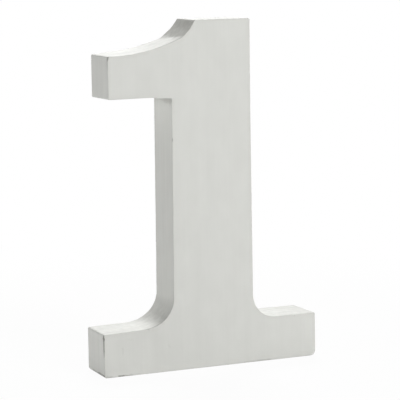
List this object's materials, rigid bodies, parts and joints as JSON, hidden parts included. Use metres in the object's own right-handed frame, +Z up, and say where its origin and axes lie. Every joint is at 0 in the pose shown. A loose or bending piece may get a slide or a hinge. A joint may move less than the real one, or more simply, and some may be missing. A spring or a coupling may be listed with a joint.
{
  "type": "wooden house number",
  "caption": "Free-standing wooden numeral 1 with a broad foot and a swept flag, painted off-white, to stand on a ledge or fix flat to a door or wall.",
  "frame": {"origin": "centre of the underside, halfway along the foot and through the thickness", "axes": "+Z up along the stem; the front faces -Y; +X is to the reader's right, so the flag points to -X"},
  "size_m": [0.1, 0.02, 0.15],
  "materials": {
    "painted_wood": "matt off-white paint over wood"
  },
  "bodies": {
    "root": {"numeral_one": "painted_wood"}
  },
  "joints": []
}
